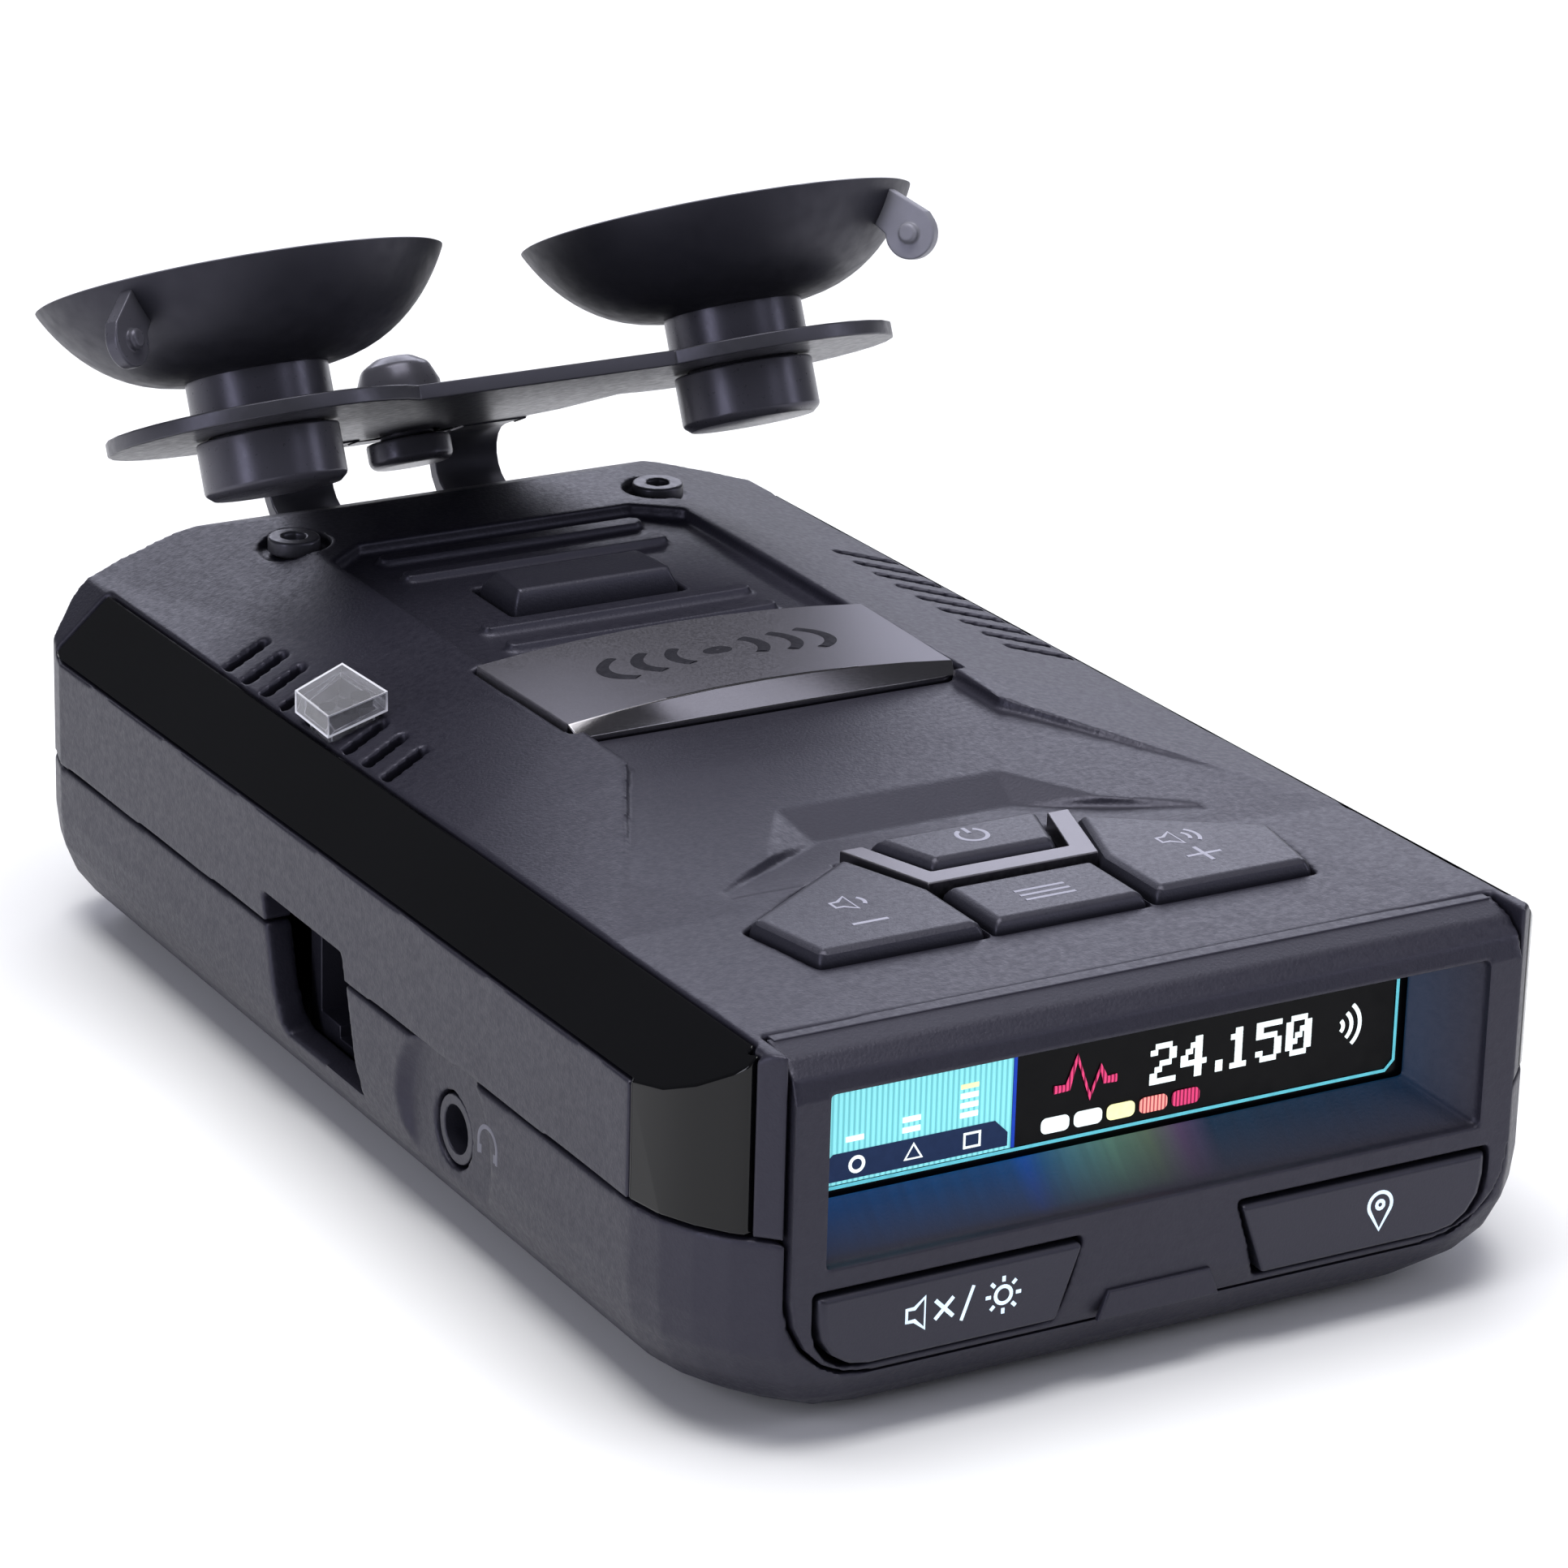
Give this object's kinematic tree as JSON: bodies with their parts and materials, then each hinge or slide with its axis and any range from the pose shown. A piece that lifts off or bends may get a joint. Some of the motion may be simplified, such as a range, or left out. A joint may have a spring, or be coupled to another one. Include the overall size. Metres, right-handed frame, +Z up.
{
  "type": "radar detector",
  "caption": "Windshield radar detector with a lit front display, deck and front buttons, side jacks and a slide-in bracket held by suction cups.",
  "frame": {"origin": "centre of the case's flat bottom face", "axes": "+X to the driver's right, +Y forwards to the windshield, -Y faces the driver, +Z up"},
  "size_m": [0.0738, 0.1214, 0.0595],
  "materials": {
    "charcoal_plastic": "fine satin grain",
    "gloss_black": "polished",
    "gunmetal": "satin with a polished front edge",
    "satin_chrome": "satin",
    "key_plastic": "fine satin",
    "clear_plastic": "clear",
    "dark_lens": "polished",
    "display_glass": "polished, lit from inside",
    "circuit_board": "solder mask",
    "rubber": "satin",
    "silicone": "matte",
    "black_steel": "satin black",
    "bare_metal": "bare",
    "label_stock": "matte"
  },
  "bodies": {
    "housing": {"upper_case": "charcoal_plastic", "lower_case": "charcoal_plastic", "front_bezel": "charcoal_plastic", "gloss_trim_left": "gloss_black", "gloss_trim_right": "gloss_black", "name_plate": "gunmetal", "button_trim": "satin_chrome", "mute_switch": "key_plastic", "mark_switch": "key_plastic", "speaker": "key_plastic", "power_jack": "key_plastic", "audio_jack": "key_plastic", "laser_sensor": "key_plastic", "laser_prism": "clear_plastic", "rear_lens": "dark_lens", "display_panel": "display_glass", "main_board": "circuit_board", "button_board": "circuit_board", "front_board": "circuit_board", "button_keypad": "silicone", "rear_screw_left": "black_steel", "rear_screw_right": "black_steel", "bottom_screw_left": "black_steel", "bottom_screw_right": "black_steel", "release_spring": "bare_metal", "horn_antenna": "bare_metal", "receiver_shield": "bare_metal", "board_screw_left": "bare_metal", "board_screw_right": "bare_metal", "board_screw_rear_left": "bare_metal", "board_screw_rear_right": "bare_metal", "rating_label": "label_stock"},
    "power_button": {"power_button": "key_plastic"},
    "menu_button": {"menu_button": "key_plastic"},
    "volume_down_button": {"volume_down_button": "key_plastic"},
    "volume_up_button": {"volume_up_button": "key_plastic"},
    "mute_button": {"mute_button": "key_plastic"},
    "mark_button": {"mark_button": "key_plastic"},
    "release_button": {"release_button": "key_plastic"},
    "bracket": {"mount_bracket": "black_steel", "bumper": "rubber"},
    "left_cup": {"suction_cup_left": "rubber"},
    "right_cup": {"suction_cup_right": "rubber"}
  },
  "joints": [
    {"name": "power_press", "type": "slide", "parent": "housing", "child": "power_button", "axis": [0, 0, -1], "range_m": [0, 0.0006], "stiffness_N_per_m": 1200, "springref_m": -0.0005},
    {"name": "menu_press", "type": "slide", "parent": "housing", "child": "menu_button", "axis": [0, 0, -1], "range_m": [0, 0.0006], "stiffness_N_per_m": 1200, "springref_m": -0.0005},
    {"name": "volume_down_press", "type": "slide", "parent": "housing", "child": "volume_down_button", "axis": [0, 0, -1], "range_m": [0, 0.0006], "stiffness_N_per_m": 1200, "springref_m": -0.0005},
    {"name": "volume_up_press", "type": "slide", "parent": "housing", "child": "volume_up_button", "axis": [0, 0, -1], "range_m": [0, 0.0006], "stiffness_N_per_m": 1200, "springref_m": -0.0005},
    {"name": "mute_press", "type": "slide", "parent": "housing", "child": "mute_button", "axis": [0, 1, 0], "range_m": [0, 0.0005], "stiffness_N_per_m": 1200, "springref_m": -0.0005},
    {"name": "mark_press", "type": "slide", "parent": "housing", "child": "mark_button", "axis": [0, 1, 0], "range_m": [0, 0.0005], "stiffness_N_per_m": 1200, "springref_m": -0.0005},
    {"name": "release_press", "type": "slide", "parent": "housing", "child": "release_button", "axis": [0, 0, -1], "range_m": [0, 0.0015], "stiffness_N_per_m": 900, "springref_m": -0.001, "deforming": ["release_spring"]},
    {"name": "bracket_slide", "type": "slide", "parent": "housing", "child": "bracket", "axis": [0, 1, 0], "range_m": [0, 0.03]},
    {"name": "left_cup_turn", "type": "hinge", "parent": "bracket", "child": "left_cup", "pos_m": [-0.021, 0.0406, 0.0427], "axis": [0, 0.4147, 0.91], "continuous": true},
    {"name": "right_cup_turn", "type": "hinge", "parent": "bracket", "child": "right_cup", "pos_m": [0.021, 0.0406, 0.0427], "axis": [0, 0.4147, 0.91], "continuous": true}
  ]
}
